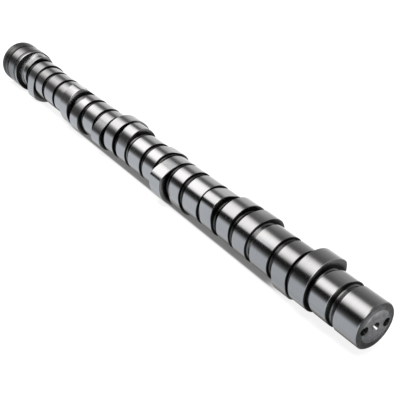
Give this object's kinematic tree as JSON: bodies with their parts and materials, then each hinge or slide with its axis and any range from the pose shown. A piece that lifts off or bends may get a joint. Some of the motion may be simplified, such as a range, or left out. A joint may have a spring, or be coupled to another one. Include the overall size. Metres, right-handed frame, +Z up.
{
  "type": "camshaft",
  "caption": "Long one-piece overhead camshaft of an in-line diesel engine, with bearing journals, valve and injector cams, a drive-end thrust journal and a tapped end face.",
  "frame": {"origin": "on the shaft's axis, in the middle plane of the thrust journal at the drive end", "axes": "+X along the axis from the drive end to the tapped plain end, +Z up with the shaft lying on its cams as it comes to rest"},
  "size_m": [1.086, 0.094, 0.0911],
  "materials": {
    "ground_steel": "ground and polished lobes and journals, darker turned core and side faces"
  },
  "bodies": {
    "root": {"camshaft": "ground_steel"}
  },
  "joints": []
}
